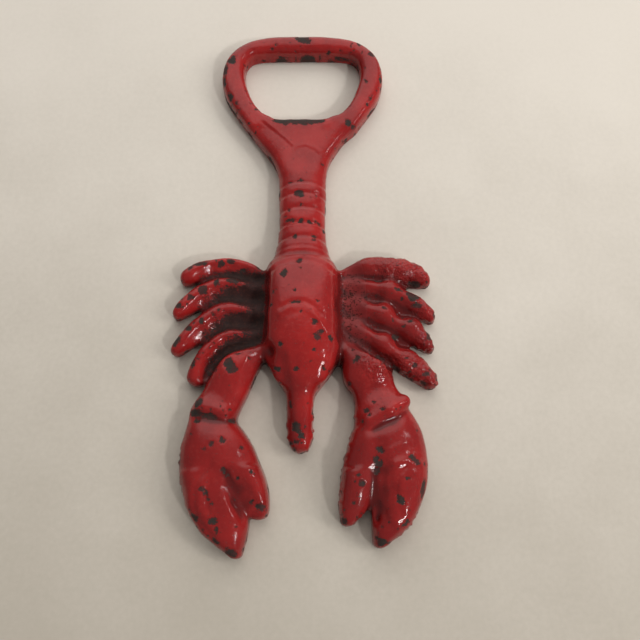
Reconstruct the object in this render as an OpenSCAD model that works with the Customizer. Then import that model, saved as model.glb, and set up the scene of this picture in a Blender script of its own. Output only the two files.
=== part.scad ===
// Lobster bottle opener: one iron casting, painted, with a flat back.
// The casting is drawn as named regions that meet face to face. Nothing on it moves.
// +Y runs from the claw tips to the loop, +Z is up, and the flat back lies on z = 0.

/* [Overall] */
// Length over the loop and the claw tips
length = 155.8; // [130:0.1:180]
// Width over the legs
width = 73.8; // [62:0.1:86]

/* [Opener loop] */
// Width over the loop
loop_w = 50.2; // [44:0.1:58]
// Width of the opening that takes the edge of a crown cap
opening_w = 36; // [33:0.1:38]
// Thickness of the loop
loop_h = 6.5; // [5:0.1:8]
// Width of the lip that catches under the cap
lip_w = 16.6; // [12:0.1:17]
// Thickness of the lip at its edge
lip_edge_h = 4; // [3:0.1:4.5]

/* [Heights] */
// Crown of the tail
tail_h = 8; // [6.5:0.1:9]
// Crown of the carapace
carapace_h = 13; // [11:0.1:16]
// Crown of the rostrum at its root
rostrum_h = 9; // [7:0.1:10]
// Crown of a leg
leg_h = 6; // [4.5:0.1:7]
// Crown of an arm
arm_h = 8.4; // [7:0.1:10]
// Crown of a claw
claw_h = 9.4; // [8:0.1:11]
// Floor of the grooves between neighbouring legs
web_h = 2.4; // [1.5:0.1:3.5]

/* [Tail] */
// Number of overlapping plates
segments = 5; // [3:1:7]
// Swell of each plate over the groove at its rear edge, as a share of the tail's height
swell = 0.05; // [0:0.01:0.12]

/* [Hidden] */

// The lists below are drawn at this nominal size and stretch with the driving dimensions.
pattern_length = 155.8;
pattern_width = 73.8;
pattern_loop_w = 50.2;
pattern_opening_w = 36;
kx = width / pattern_width;
ky = length / pattern_length;
loop_x = -0.65;                  // the loop sits this far off the body's midline
loop_wall = 2.2;                 // height of the loop's upright walls, under its crown
neck_y = 44.5;                   // where the loop's feet meet the neck plate
lip_y = 47.5;                    // the lip's edge
tail_far_y = 28.3;
tail_near_y = 1;
side_left = -11;                 // the carapace's side walls, where the limbs start
side_right = 10.6;
lip_round = 1.2;                 // bevel along the lip's upper edge
arc_steps = 14;                  // steps over the top of a section
cap_turns = [35, 62, 82];        // angles of the rings that round off a free tip
loop_round_near = 0.4;           // roundness of the loop's section beside the lip
loop_round_far = 0.65;           // and from here on towards the far bar
loop_round_y = 56;
wall = 3;                        // upright wall under the crown of the neck, the arms and the claws
wall_tail = 2.6;
wall_rostrum = 3.2;
wall_arm_near = 3.4;
round_tail = 0.85;               // roundness of each region's section
round_carapace = 0.76;
round_rostrum = 0.7;
round_limb = 0.85;
round_claw = 0.88;
paint = "firebrick";

// A station is [left x, left y, right x, right y, crown height, left wall, right wall, roundness].
// Its section stands on the line from left to right: two upright walls with a crown over them.
// Roundness 1 gives a half ellipse, and less gives a flatter top with rounded shoulders.
// With a bow, the section's middle is set that far forward of its ends, towards the loop.
function left_of(s) = [s[0], s[1]];
function right_of(s) = [s[2], s[3]];
function middle_of(s) = (left_of(s) + right_of(s)) / 2;
function power(v, p) = sign(v) * pow(abs(v), p);

function section(s, bow = 0) = [
    for (k = [0:arc_steps])
        let (
            a = 180 * k / arc_steps,
            across = (1 - power(cos(a), s[7])) / 2,
            plan = left_of(s) + (right_of(s) - left_of(s)) * across,
            wall = s[5] + (s[6] - s[5]) * across,
            crown = max(s[4] - wall, 0) * pow(sin(a), s[7])
        ) [plan[0] * kx, (plan[1] - bow * pow(2 * across - 1, 2)) * ky, wall + crown],
    [s[2] * kx, (s[3] - bow) * ky, 0],
    [s[0] * kx, (s[1] - bow) * ky, 0]
];

// A smooth curve through the stations, with a few steps between each pair.
function between(a, b, c, d, t) =
    (2 * b + (c - a) * t + (2 * a - 5 * b + 4 * c - d) * t * t
     + (3 * b - a - 3 * c + d) * t * t * t) / 2;

function smoothed(s, steps) = [
    for (i = [0:len(s) - 2], k = [0:steps - 1])
        between(s[max(i - 1, 0)], s[i], s[i + 1], s[min(i + 2, len(s) - 1)], k / steps),
    s[len(s) - 1]
];

// The stations that round off a tip beyond the last one, along its own heading.
function rounded_tip(s, reach) =
    let (
        last = s[len(s) - 1],
        ahead = middle_of(last) - middle_of(s[len(s) - 2]),
        heading = ahead / norm(ahead)
    ) [
        for (turn = cap_turns)
            let (
                mid = middle_of(last) + heading * reach * sin(turn),
                half = (right_of(last) - left_of(last)) / 2 * cos(turn),
                low = 0.45 + 0.55 * cos(turn)
            ) [
                mid[0] - half[0], mid[1] - half[1], mid[0] + half[0], mid[1] + half[1],
                last[4] * low, last[5] * low, last[6] * low, last[7]
            ]
    ];

// Joins equal rings of points into one closed solid, with flat ends.
module skin(rings) {
    n = len(rings[0]);
    count = len(rings);
    ahead = rings[1][0] - rings[0][0] + rings[1][n - 2] - rings[0][n - 2];
    across = rings[0][n - 2] - rings[0][n - 1];
    turned = across[0] * ahead[1] - across[1] * ahead[0] > 0;
    sides = [
        for (r = [0:count - 2], k = [0:n - 1])
            let (a = r * n + k, b = r * n + (k + 1) % n)
            each [[a, b, b + n], [a, b + n, a + n]]
    ];
    ends = [
        for (k = [1:n - 2])
            each [[0, k + 1, k], [(count - 1) * n, (count - 1) * n + k, (count - 1) * n + k + 1]]
    ];
    faces = [for (f = concat(sides, ends)) turned ? [f[0], f[2], f[1]] : f];
    polyhedron(points = [for (ring = rings) each ring], faces = faces, convexity = 6);
}

module strip(stations, steps = 2, tip = 0) {
    run = smoothed(stations, steps);
    skin([for (s = tip > 0 ? concat(run, rounded_tip(run, tip)) : run) section(s)]);
}

// Widens a plan row [left x, left y, right x, right y] into a station.
function station(row, h, left_wall, right_wall, roundness) =
    concat(row, [h, left_wall, right_wall, roundness]);

/* Opener loop: half of its outline, from a foot to the middle of the far bar. */
loop_half = [
    // outer x, outer y, inner x, inner y, from the loop's own midline
    [16.4, neck_y, lip_w / 2, neck_y],
    [18.6, 47.7, lip_w / 2, lip_y],
    [21.0, 51.2, 11.5, 49.3],
    [23.3, 55.0, 14.7, 53.6],
    [24.8, 59.5, 16.9, 59.0],
    [25.1, 64.0, 18.0, 64.0],
    [24.0, 69.0, 17.6, 67.8],
    [21.0, 73.1, 15.8, 70.3],
    [16.4, 76.1, 12.6, 71.2],
    [9.4, 77.6, 7.9, 71.5],
    [0, 77.9, 0, 71.5]
];
outer_k = loop_w / pattern_loop_w / kx;
inner_k = opening_w / pattern_opening_w / kx;

function loop_row(row, side) =
    let (inner = row[3] <= lip_y ? row[2] / kx : row[2] * inner_k)
    [loop_x + side * row[0] * outer_k, row[1], loop_x + side * inner, row[3]];

bow_rows = concat(
    [for (row = loop_half) loop_row(row, -1)],
    [for (i = [len(loop_half) - 2:-1:0]) loop_row(loop_half[i], 1)]
);

// The loop is flat beside the lip and the neck, and rounder farther out.
function loop_round(row) = lookup(row[1], [[lip_y, loop_round_near], [loop_round_y, loop_round_far]]);

module opener_bow() {
    color(paint)
        strip(
            [for (row = bow_rows) station(row, loop_h, loop_wall, loop_wall, loop_round(row))],
            steps = 3
        );
}

// The lip catches under the cap's skirt. Its underside thins it towards the edge.
module opener_lip() {
    edge_top = loop_h - lip_round;
    color(paint)
        translate([loop_x * kx - lip_w / 2, 0, 0])
            rotate([90, 0, 90])
                linear_extrude(height = lip_w)
                    polygon([
                        [neck_y * ky, 0],
                        [neck_y * ky + 0.6, 0],
                        [lip_y * ky, max(edge_top - lip_edge_h, 0)],
                        [lip_y * ky, edge_top],
                        [lip_y * ky - lip_round, loop_h],
                        [neck_y * ky, loop_h]
                    ]);
}

neck_rows = [
    // left x, left y, right x, right y, crown height, roundness
    [bow_rows[0][0], neck_y, bow_rows[20][0], neck_y, loop_h, 0.4],
    [-14.7, 41.4, 12.3, 41.4, loop_h, 0.45],
    [-12.2, 38.0, 10.0, 38.0, loop_h, 0.5],
    [-9.8, 34.6, 8.1, 34.6, loop_h + 0.1, 0.6],
    [-8.2, 31.4, 7.1, 31.4, loop_h + 0.4, 0.7],
    [-7.4, tail_far_y, 6.7, tail_far_y, loop_h + 0.8, 0.8]
];

module neck_plate() {
    color(paint)
        strip([for (r = neck_rows) [r[0], r[1], r[2], r[3], r[4], wall, wall, r[5]]], steps = 3);
}

/* Tail: its half widths and its height along y, and the plates that overlap towards the loop. */
tail_left = [[1, 9.6], [4, 8.2], [8, 7.4], [13, 6.9], [18, 7.0], [23.5, 7.3], [28.3, 7.4]];
tail_right = [[1, 9.0], [4, 7.6], [8, 6.7], [13, 6.3], [18, 6.4], [23.5, 6.7], [28.3, 6.7]];
tail_rise = [[1, 1.2], [4, 1.13], [8, 1.05], [13, 1.0], [18, 0.97], [28.3, (loop_h + 0.8) / tail_h]];
last_edge_y = 24.2;              // the rear edge of the plate next to the neck
first_edge_y = 6.9;              // the rear edge of the plate next to the carapace
crowding = 0.5;                  // how much closer the plates lie towards the neck
plate_bow = 0.8;                 // how far the middle of a plate's edge reaches past its ends
bow_fade = 3;                    // length at each end of the tail over which the bow fades out
neck_groove = -0.4;              // share of the swell that the groove beside the neck is cut
// Along a plate, from the groove in front of it to its rear edge: share of its length, and of swell.
plate_profile = [[0, -0.9], [0.12, -0.5], [0.4, 0.25], [0.7, 0.6], [0.9, 0.5], [0.97, 0]];

function edge_y(i) =
    let (t = i / (segments - 1))
    first_edge_y + (last_edge_y - first_edge_y) * (t + crowding * pow(t, 3) * (1 - t));

// Stations along the tail: y, and how much the section is swollen there.
plate_rows = concat(
    [[tail_near_y, 0]],
    [
        for (i = [-1:segments - 2], step = plate_profile)
            let (y = edge_y(i) + step[0] * (edge_y(i + 1) - edge_y(i)))
            if (y > tail_near_y + 0.2) [y, swell * step[1]]
    ],
    [[last_edge_y, neck_groove * swell], [last_edge_y + 1, neck_groove * swell], [tail_far_y, 0]]
);

function tail_station(y, out) = [
    -lookup(y, tail_left) * (1 + out * 0.6), y,
    lookup(y, tail_right) * (1 + out * 0.6), y,
    lookup(y, tail_rise) * tail_h * (1 + out), wall_tail, wall_tail, round_tail
];

function tail_bow(y) =
    plate_bow * max(0, min(1, (y - tail_near_y) / bow_fade, (tail_far_y - y) / bow_fade));

module tail() {
    color(paint)
        skin([for (r = plate_rows) section(tail_station(r[0], r[1]), tail_bow(r[0]))]);
}

/* Carapace: y, left x, right x, crown height as a share of carapace_h, wall. */
carapace_rows = [
    [tail_near_y, -9.6, 9.0, 0.74, 3],
    [-2, -10.7, 10.1, 0.84, 3.4],
    [-6, side_left, side_right, 0.93, 3.8],
    [-12, side_left, side_right, 0.99, 4],
    [-18, side_left, side_right, 1.0, 4],
    [-23, side_left, side_right, 0.98, 4],
    [-27, -10.1, 9.8, 0.93, 3.8],
    [-30.5, -8.2, 8.1, 0.86, 3.6],
    [-33.8, -6.0, 5.6, 0.78, 3.4],
    [-36.5, -4.3, 3.5, rostrum_h / carapace_h, 3.2]
];

module carapace() {
    color(paint)
        strip([for (r = carapace_rows)
            [r[1], r[0], r[2], r[0], r[3] * carapace_h, r[4], r[4], round_carapace]], steps = 3);
}

rostrum_rows = [
    [-36.5, -4.3, 3.5, 1.0],
    [-39.5, -4.1, 3.1, 0.95],
    [-43.5, -4.0, 3.0, 0.88],
    [-47.5, -3.8, 2.9, 0.8],
    [-49.6, -3.3, 2.5, 0.74]
];

module rostrum() {
    color(paint)
        strip([for (r = rostrum_rows)
            [r[1], r[0], r[2], r[0], r[3] * rostrum_h, wall_rostrum, wall_rostrum, round_rostrum]],
            steps = 3, tip = 2.2);
}

/* Legs: plan rows across each leg, from its root at the carapace to its tip. */
legs_left = [
    [
        [side_left, -1.2, side_left, -3.5], [-14, 1.0, -14, -3.3], [-18, 2.5, -18, -2.5],
        [-22, 2.9, -22, -2.2], [-26, 2.4, -25.2, -2.8], [-29.3, 1.8, -28, -3.4],
        [-31.8, 0.6, -30.6, -4.4], [-33.9, -0.9, -33.0, -5.0]
    ],
    [
        [side_left, -3.5, side_left, -9.0], [-15, -3.1, -15, -9.8], [-19, -2.4, -18.6, -9.7],
        [-23, -2.3, -21.5, -9.9], [-26.5, -3.5, -24, -10.6], [-29.5, -5.3, -26.8, -11.4],
        [-32.3, -7.7, -29.6, -12.6], [-34.6, -10.0, -32.0, -13.9], [-36.0, -12.2, -34.0, -15.0]
    ],
    [
        [side_left, -9.0, side_left, -15.8], [-15, -9.8, -15, -17.0], [-19, -9.7, -18.5, -17.5],
        [-23, -10.3, -21, -18.1], [-26.5, -11.9, -23.5, -19.0], [-29.5, -14.6, -25.7, -20.5],
        [-32.2, -17.5, -28.2, -22.0], [-34.5, -20.5, -30.9, -23.6], [-36.0, -23.2, -33.2, -25.2]
    ],
    [
        [side_left, -15.8, side_left, -21.8], [-15, -17.0, -15, -22.4],
        [-19, -17.6, -17.8, -23.3], [-22.5, -18.6, -20.3, -24.4], [-25.5, -20.4, -22.8, -26.0],
        [-27.8, -23.2, -24.8, -28.0], [-29.5, -26.5, -25.5, -29.8],
        [-30.8, -29.3, -25.8, -31.6], [-31.4, -31.6, -26.4, -33.2]
    ]
];
legs_right = [
    [
        [side_right, -0.9, side_right, -3.0], [13.5, 0.8, 14, -2.8], [17, 2.3, 17.5, -3.1],
        [20.8, 3.0, 20.8, -3.6], [24.8, 2.8, 24, -4.4], [28.4, 2.4, 27, -5.1],
        [31.6, 1.4, 29.6, -5.5], [34, -0.1, 32, -5.7], [35.5, -2.2, 33.9, -5.6]
    ],
    [
        [side_right, -3.0, side_right, -8.0], [14, -2.8, 14, -8.2], [17.5, -3.1, 17.3, -8.7],
        [20.8, -3.6, 20, -9.4], [24, -4.4, 22.6, -10.6], [27, -5.5, 25, -12.0],
        [29.6, -6.9, 27.2, -13.1], [32.3, -8.5, 29.8, -14.0], [34.8, -10.6, 32.3, -15.1],
        [36.5, -13.0, 34.6, -16.2]
    ],
    [
        [side_right, -8.0, side_right, -13.5], [14, -8.2, 13.6, -14.3], [17.3, -8.7, 16.5, -15.6],
        [20, -9.4, 19, -16.8], [22.6, -10.6, 21.3, -17.9], [25, -12.0, 23.2, -19.2],
        [27.2, -13.2, 25, -20.5], [29.9, -14.8, 27.4, -21.7], [32.5, -16.8, 30.0, -22.7],
        [34.7, -19.4, 32.4, -23.7], [35.7, -21.9, 34.2, -24.6]
    ],
    [
        [side_right, -13.5, side_right, -19.0], [13.6, -14.3, 13, -20.8],
        [16.5, -15.6, 15.6, -22.5], [19, -16.8, 18, -24.0], [21.3, -17.9, 20, -25.3],
        [23.2, -19.2, 21.9, -26.5], [25, -20.6, 23.6, -27.8], [27.5, -22.3, 25.5, -29.2],
        [30, -24.3, 27.6, -30.8], [32.5, -26.6, 29.9, -32.3], [34.8, -28.9, 32.2, -33.6],
        [36.3, -31.2, 34.3, -34.7]
    ]
];

// A leg rises from the web at the carapace, runs level, and drops a little to its tip.
function leg_station(row, along, side) =
    let (
        h = leg_h * (0.72 + 0.28 * pow(sin(180 * min(along * 0.8 + 0.1, 1)), 0.5)),
        far_wall = web_h + 0.9 * along,
        near_wall = web_h
    ) station(row, h, far_wall, near_wall, round_limb);

module leg(rows) {
    last = len(rows) - 1;
    color(paint)
        strip([for (i = [0:last]) leg_station(rows[i], i / last)], steps = 2, tip = 1.6);
}

module leg_left_1() {
    leg(legs_left[0]);
}

module leg_left_2() {
    leg(legs_left[1]);
}

module leg_left_3() {
    leg(legs_left[2]);
}

module leg_left_4() {
    leg(legs_left[3]);
}

module leg_right_1() {
    leg(legs_right[0]);
}

module leg_right_2() {
    leg(legs_right[1]);
}

module leg_right_3() {
    leg(legs_right[2]);
}

module leg_right_4() {
    leg(legs_right[3]);
}

/* Arms: plan rows, then crown height as a share of arm_h. */
arm_left_rows = [
    [side_left, -21.8, side_left, -28.2, 0.8],
    [-15, -22.4, -12, -30, 0.92],
    [-19, -23.8, -12.9, -32.2, 1.0],
    [-22.8, -26.1, -13.9, -34.6, 1.0],
    [-25.2, -30.4, -14.9, -37, 0.97],
    [-26.0, -34.5, -15.8, -39, 0.94],
    [-28.2, -37.8, -16.6, -41, 0.97],
    [-29.7, -40.6, -17.1, -42.3, 1.0],
    [-30.0, -43.2, -17.3, -43.6, 0.86]
];
arm_right_rows = [
    [side_right, -19.0, side_right, -26.5, 0.8],
    [13, -20.8, 10.7, -28.5, 0.9],
    [16.5, -23, 10.8, -30.2, 1.0],
    [20, -25.3, 10.9, -31.8, 1.06],
    [22.8, -27.4, 11.3, -33.2, 1.06],
    [24.4, -29.8, 12.2, -34.6, 1.0],
    [24.8, -33, 13.5, -36.1, 0.9],
    [26.2, -35.7, 14.1, -38.6, 0.94],
    [28, -37.4, 14.1, -41.2, 1.04],
    [28.5, -40.0, 13.9, -44.5, 0.9]
];

module arm(rows) {
    color(paint)
        strip([for (r = rows)
            station([r[0], r[1], r[2], r[3]], r[4] * arm_h, wall, wall_arm_near, round_limb)],
            steps = 2);
}

module arm_left() {
    arm(arm_left_rows);
}

module arm_right() {
    arm(arm_right_rows);
}

/* Claws: plan rows, crown height as a share of claw_h, outer wall, then inner wall. */
palm_left_rows = [
    [-30.0, -43.3, -17.3, -43.7, 0.8, 3.2, 3.2],
    [-30.9, -47.0, -15.3, -45.9, 0.95, 3, 3],
    [-31.6, -50.5, -13.2, -48.9, 1.0, 3, 3],
    [-31.8, -53.5, -11.8, -51.8, 1.0, 3, 3],
    [-31.6, -56.5, -10.7, -54.5, 1.0, 3, 3]
];
finger_left_rows = [
    [-31.6, -56.5, -19.5, -55.3, 1.0, 3, 8.4],
    [-30.9, -60.0, -17.7, -59.0, 0.98, 3, 6.8],
    [-29.9, -63.3, -16.2, -62.5, 0.95, 3, 6],
    [-28.5, -66.9, -14.6, -65.8, 0.92, 3, 5.2],
    [-26.3, -70.1, -13.2, -68.7, 0.88, 3, 4.2],
    [-23.5, -72.9, -13.4, -71.4, 0.82, 2.8, 3.6],
    [-20.8, -75.0, -13.9, -74.1, 0.72, 2.6, 3],
    [-19.0, -76.0, -14.5, -75.8, 0.64, 2.4, 2.6]
];
thumb_left_rows = [
    [-19.5, -55.3, -10.7, -54.5, 0.96, 8.4, 3],
    [-17.7, -59.0, -9.3, -57.6, 0.92, 6.6, 3],
    [-16.2, -62.5, -8.4, -60.9, 0.86, 5.6, 3],
    [-14.6, -65.6, -8.0, -64.0, 0.78, 4.6, 3],
    [-12.7, -67.6, -8.2, -66.4, 0.66, 3.4, 2.6]
];
palm_right_rows = [
    [28.5, -40.2, 13.9, -44.7, 0.84, 3.2, 3.2],
    [30.3, -43.0, 12.9, -47.0, 0.96, 3, 3],
    [31.8, -46.3, 12.0, -50.0, 1.0, 3, 3],
    [32.6, -50.0, 11.2, -53.0, 1.0, 3, 3],
    [32.9, -54.0, 10.5, -56.0, 1.0, 3, 3]
];
finger_right_rows = [
    [32.9, -54.0, 18.6, -55.2, 1.0, 3, 7.8],
    [32.6, -58.5, 18.5, -58.8, 0.98, 3, 6.4],
    [31.6, -62.3, 18.2, -62.3, 0.96, 3, 5.4],
    [30.0, -66.0, 17.9, -66.0, 0.92, 3, 4.4],
    [27.8, -69.4, 18.0, -69.0, 0.84, 2.8, 3.6],
    [25.0, -72.0, 18.0, -71.4, 0.74, 2.6, 3],
    [23.0, -73.4, 18.2, -73.2, 0.64, 2.4, 2.6]
];
thumb_right_rows = [
    [18.6, -55.2, 10.5, -56.0, 0.94, 7.8, 3],
    [18.5, -58.8, 10.0, -59.6, 0.92, 6.2, 3],
    [18.1, -62.3, 9.7, -63.2, 0.86, 5, 3],
    [16.8, -65.6, 9.6, -66.2, 0.76, 3.8, 3],
    [14.6, -68.2, 10.0, -68.2, 0.64, 2.8, 2.6]
];

module claw_piece(rows, tip = 0) {
    color(paint)
        strip([for (r = rows)
            station([r[0], r[1], r[2], r[3]], r[4] * claw_h, r[5], r[6], round_claw)],
            steps = 3, tip = tip);
}

module claw_left_palm() {
    claw_piece(palm_left_rows);
}

module claw_left_finger() {
    claw_piece(finger_left_rows, tip = 2);
}

module claw_left_thumb() {
    claw_piece(thumb_left_rows, tip = 1.4);
}

module claw_right_palm() {
    claw_piece(palm_right_rows);
}

module claw_right_finger() {
    claw_piece(finger_right_rows, tip = 2.2);
}

module claw_right_thumb() {
    claw_piece(thumb_right_rows, tip = 2);
}

opener_bow();
opener_lip();
neck_plate();
tail();
carapace();
rostrum();
leg_left_1();
leg_left_2();
leg_left_3();
leg_left_4();
leg_right_1();
leg_right_2();
leg_right_3();
leg_right_4();
arm_left();
arm_right();
claw_left_palm();
claw_left_finger();
claw_left_thumb();
claw_right_palm();
claw_right_finger();
claw_right_thumb();
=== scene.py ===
"""A one-piece cast iron bottle opener in the shape of a lobster, in chipped red enamel.

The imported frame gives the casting's regions. They are joined into one level set, worked with strokes
that carve or add metal as a pattern maker would, and filleted as a sand casting is. The surface then
gets fine relief and the paint's chips.

The casting is worked in millimetres, in the frame's axes, until make_mesh writes it in metres. The
strokes, lines and chips are typed in as such millimetres. The floor, lamps and camera are in metres.
"""

import math

import bpy
import numpy as np
import openvdb as vdb
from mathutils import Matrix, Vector


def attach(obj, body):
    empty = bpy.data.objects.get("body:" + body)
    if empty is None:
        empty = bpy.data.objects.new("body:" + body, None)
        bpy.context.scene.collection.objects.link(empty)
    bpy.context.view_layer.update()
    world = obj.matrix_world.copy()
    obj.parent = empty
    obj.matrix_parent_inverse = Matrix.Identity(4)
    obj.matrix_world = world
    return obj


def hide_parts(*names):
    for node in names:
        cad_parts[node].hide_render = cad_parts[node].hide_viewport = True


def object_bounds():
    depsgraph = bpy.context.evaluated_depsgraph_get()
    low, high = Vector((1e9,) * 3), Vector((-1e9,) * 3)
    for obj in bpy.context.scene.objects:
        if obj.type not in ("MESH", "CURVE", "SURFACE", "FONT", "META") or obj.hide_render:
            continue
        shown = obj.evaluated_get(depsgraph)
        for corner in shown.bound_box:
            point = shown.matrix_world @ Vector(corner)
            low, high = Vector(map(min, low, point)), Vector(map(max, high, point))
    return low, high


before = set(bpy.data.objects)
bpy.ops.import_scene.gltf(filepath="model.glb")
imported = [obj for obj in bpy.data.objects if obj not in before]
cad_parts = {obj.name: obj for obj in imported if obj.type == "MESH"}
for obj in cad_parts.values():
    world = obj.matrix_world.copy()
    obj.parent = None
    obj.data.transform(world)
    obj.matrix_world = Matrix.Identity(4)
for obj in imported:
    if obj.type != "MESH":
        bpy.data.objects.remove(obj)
CAD_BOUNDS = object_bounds()

MM = 0.001
NODES = sorted(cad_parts)
rng = np.random.default_rng(20641)

# ---------------------------------------------------------------- the casting's level set

VOXEL = 0.4  # mm between the surface's points
BAND = 10  # voxels of distance kept on each side of the surface
SEAM = 0.25  # mm that the regions grow, to close the faces where they meet
FILLET = 0.5  # mm, the blur that rounds edges and fills creases
MARGIN = 3.0  # mm of empty space around the casting

LOW = np.array(CAD_BOUNDS[0]) / MM - MARGIN
HIGH = np.array(CAD_BOUNDS[1]) / MM + MARGIN
SHAPE = tuple(np.ceil((HIGH - LOW) / VOXEL).astype(int))


def node_triangles(name):
    """A CAD node's points in mm and its triangles."""
    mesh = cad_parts[name].data
    mesh.calc_loop_triangles()
    points = np.empty(len(mesh.vertices) * 3, np.float32)
    mesh.vertices.foreach_get("co", points)
    corners = np.empty(len(mesh.loop_triangles) * 3, np.int32)
    mesh.loop_triangles.foreach_get("vertices", corners)
    return points.reshape(-1, 3) / MM, corners.reshape(-1, 3)


def distances(points, **faces):
    """Signed distances in mm from the grid's points to a closed surface of triangles or quads."""
    grid = vdb.FloatGrid.createLevelSetFromPolygons(
        (points - LOW).astype(np.float32),
        transform=vdb.createLinearTransform(voxelSize=VOXEL),
        halfWidth=BAND,
        **{kind: corners.astype(np.uint32) for kind, corners in faces.items()},
    )
    values = np.empty(SHAPE, np.float32)
    grid.copyToArray(values, ijk=(0, 0, 0))
    return values


def surface(values):
    """The zero surface of a grid of distances, as points in mm and quads."""
    grid = vdb.FloatGrid(BAND * VOXEL)
    grid.transform = vdb.createLinearTransform(voxelSize=VOXEL)
    grid.copyFromArray(np.ascontiguousarray(values, np.float32))
    points, quads = grid.convertToQuads(isovalue=0.0)
    return np.array(points, float) + LOW, np.array(quads)


def blurred(values, sigma):
    """A Gaussian blur of a grid, sigma in mm."""
    reach = int(math.ceil(3 * sigma / VOXEL))
    steps = np.arange(-reach, reach + 1)
    weights = np.exp(-0.5 * (steps * VOXEL / sigma) ** 2)
    weights /= weights.sum()
    for axis in range(3):
        padding = [(0, 0)] * 3
        padding[axis] = (reach, reach)
        padded = np.pad(values, padding, mode="edge")
        length = values.shape[axis]
        total = 0
        for i, w in enumerate(weights):
            total = total + w * np.take(padded, range(i, i + length), axis=axis)
        values = total
    return values.astype(np.float32)


def joined_regions():
    """Distances to the regions' union, with the faces where they meet closed."""
    whole = np.full(SHAPE, BAND * VOXEL, np.float32)
    for name in NODES:
        points, triangles = node_triangles(name)
        whole = np.minimum(whole, distances(points, triangles=triangles) - SEAM)
    points, quads = surface(whole)
    return distances(points, quads=quads) + SEAM


def smooth_min(a, b, k):
    """The smaller of two grids of distances, rounded where they are within k mm of each other."""
    overlap = np.maximum(k - np.abs(a - b), 0) / k
    return np.minimum(a, b) - overlap * overlap * k / 4


def work(solid, strokes, blend, add):
    """Carves or adds metal along strokes: lists of (x, y, z, radius), a ball swept from point to point."""
    for stroke in strokes:
        ends = list(zip(stroke, stroke[1:])) or [(stroke[0], stroke[0])]
        for a, b in ends:
            a, b = np.array(a, float), np.array(b, float)
            reach = max(a[3], b[3]) + blend + 1
            first = np.floor((np.minimum(a, b)[:3] - reach - LOW) / VOXEL).astype(int)
            last = np.ceil((np.maximum(a, b)[:3] + reach - LOW) / VOXEL).astype(int)
            first = np.clip(first, 0, SHAPE)
            last = np.clip(last, 0, SHAPE)
            part = tuple(slice(f, l) for f, l in zip(first, last))
            axes = [LOW[i] + np.arange(first[i], last[i]) * VOXEL for i in range(3)]
            x, y, z = np.meshgrid(*axes, indexing="ij")
            run = b[:3] - a[:3]
            t = (x - a[0]) * run[0] + (y - a[1]) * run[1] + (z - a[2]) * run[2]
            t = np.clip(t / max(run @ run, 1e-9), 0, 1)
            across = [axis - a[i] - t * run[i] for i, axis in enumerate((x, y, z))]
            gap = np.sqrt(across[0] ** 2 + across[1] ** 2 + across[2] ** 2)
            ball = gap - (a[3] + t * (b[3] - a[3]))
            if add:
                solid[part] = smooth_min(solid[part], ball, blend)
            else:
                solid[part] = -smooth_min(-solid[part], ball, blend)


# Valleys between the legs, from the body outwards: a broad flank that slopes off each leg, and a
# narrow groove at its foot. The left ones open wide beside the body.
LEFT_FLANKS = [
    [(-13.4, -3.6, 6.4, 2.5), (-17.0, -2.2, 6.4, 2.0), (-21.0, -1.2, 6.3, 1.8), (-25.0, -1.6, 6.2, 1.8),
     (-28.6, -3.4, 6.0, 1.6)],
    [(-13.6, -9.6, 6.0, 2.8), (-17.0, -8.6, 6.0, 2.3), (-20.6, -8.0, 6.2, 2.0), (-24.2, -8.9, 6.3, 1.9),
     (-27.4, -10.9, 6.1, 1.8), (-30.4, -13.4, 5.8, 1.6)],
    [(-13.6, -16.6, 6.0, 2.8), (-17.0, -16.2, 6.0, 2.3), (-20.4, -16.0, 6.2, 2.0), (-23.8, -17.5, 6.3, 1.9),
     (-26.8, -19.9, 6.1, 1.9), (-29.4, -22.0, 5.8, 1.7)],
    [(-13.6, -21.8, 6.6, 2.1), (-17.0, -22.3, 6.4, 2.0), (-20.2, -23.2, 6.2, 1.9), (-22.9, -25.2, 6.2, 1.8),
     (-24.7, -28.0, 6.1, 1.7), (-25.9, -31.2, 5.9, 1.5)],
]
LEFT_GROOVES = [
    [(-13.6, -3.8, 4.6, 1.3), (-17.0, -3.0, 4.5, 1.2), (-21.0, -2.1, 4.4, 1.0), (-25.0, -2.6, 4.3, 0.8),
     (-28.5, -4.4, 4.2, 0.7)],
    [(-13.6, -9.8, 4.3, 1.5), (-17.0, -9.3, 4.3, 1.3), (-20.6, -8.9, 4.3, 1.1), (-24.0, -9.8, 4.3, 0.9),
     (-27.0, -11.7, 4.2, 0.8), (-30.0, -14.2, 4.0, 0.7)],
    [(-13.6, -16.8, 4.3, 1.5), (-17.0, -16.9, 4.3, 1.3), (-20.2, -16.9, 4.3, 1.1), (-23.4, -18.4, 4.3, 1.0),
     (-26.2, -20.8, 4.2, 0.9), (-28.8, -22.9, 4.0, 0.8)],
    [(-13.8, -22.2, 4.8, 1.1), (-17.0, -22.9, 4.6, 1.1), (-20.0, -24.0, 4.4, 1.0), (-22.4, -26.0, 4.3, 1.0),
     (-24.2, -28.6, 4.3, 0.9), (-25.6, -31.7, 4.2, 0.8)],
]
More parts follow.
